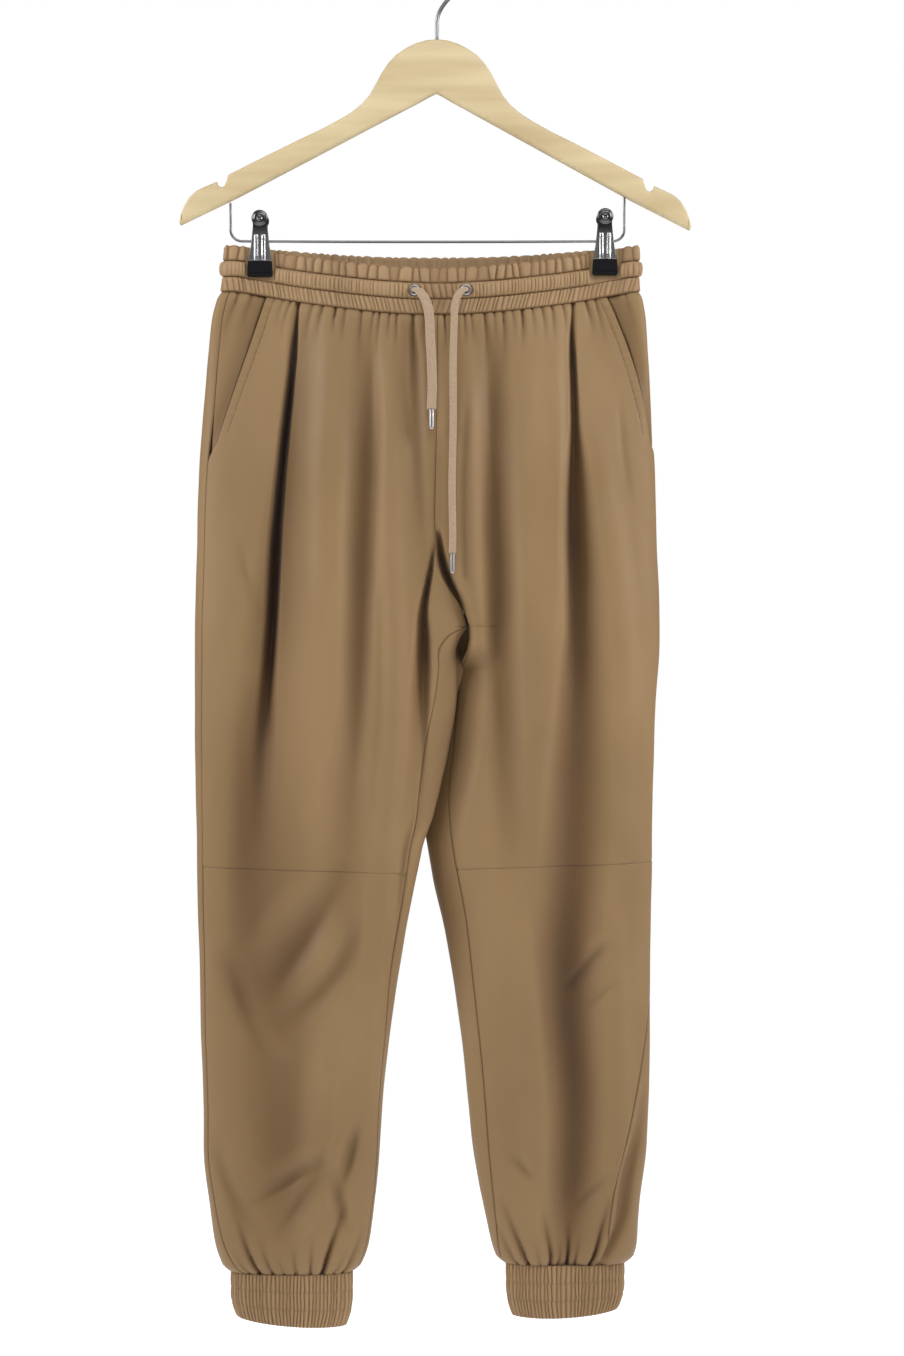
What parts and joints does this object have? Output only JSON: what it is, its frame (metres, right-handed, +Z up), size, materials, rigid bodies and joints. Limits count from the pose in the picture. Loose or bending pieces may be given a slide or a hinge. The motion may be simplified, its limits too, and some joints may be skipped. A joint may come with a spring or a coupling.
{
  "type": "faux leather trousers on a clip hanger",
  "caption": "Faux leather jogger trousers with gathered elastic waist and cuffs, slanted pockets and a drawcord, hung by clips from a wooden hanger with a wire hook.",
  "frame": {"origin": "inside top of the hanger's hook, where it rests on a rail", "axes": "+Z up, -Y towards the front of the trousers, +X towards the wearer's left"},
  "size_m": [0.4445, 0.0803, 1.1846],
  "materials": {
    "faux_leather": "soft satin faux leather with a fine grain",
    "elastic_band": "the same faux leather gathered over elastic",
    "cord": "matt flat braid",
    "trim_metal": "satin",
    "chrome": "polished",
    "wood": "pale clear-lacquered wood",
    "rubber": "matt"
  },
  "bodies": {
    "root": {"back_left": "faux_leather", "back_right": "faux_leather", "clip_back_left": "chrome", "clip_back_right": "chrome", "clip_front_left": "chrome", "clip_front_right": "chrome", "cord_tip_left": "trim_metal", "cord_tip_right": "trim_metal", "cuff_left": "elastic_band", "cuff_right": "elastic_band", "drawcord_left": "cord", "drawcord_right": "cord", "eyelet_left": "trim_metal", "eyelet_right": "trim_metal", "front_lower_left": "faux_leather", "front_lower_right": "faux_leather", "front_upper_left": "faux_leather", "front_upper_right": "faux_leather", "hanger_hook": "chrome", "hanger_wood": "wood", "hip_facing_left": "faux_leather", "hip_facing_right": "faux_leather", "pad_back_left": "rubber", "pad_back_right": "rubber", "pad_front_left": "rubber", "pad_front_right": "rubber", "trouser_bar": "chrome", "waistband_back": "elastic_band", "waistband_front": "elastic_band"}
  },
  "joints": []
}
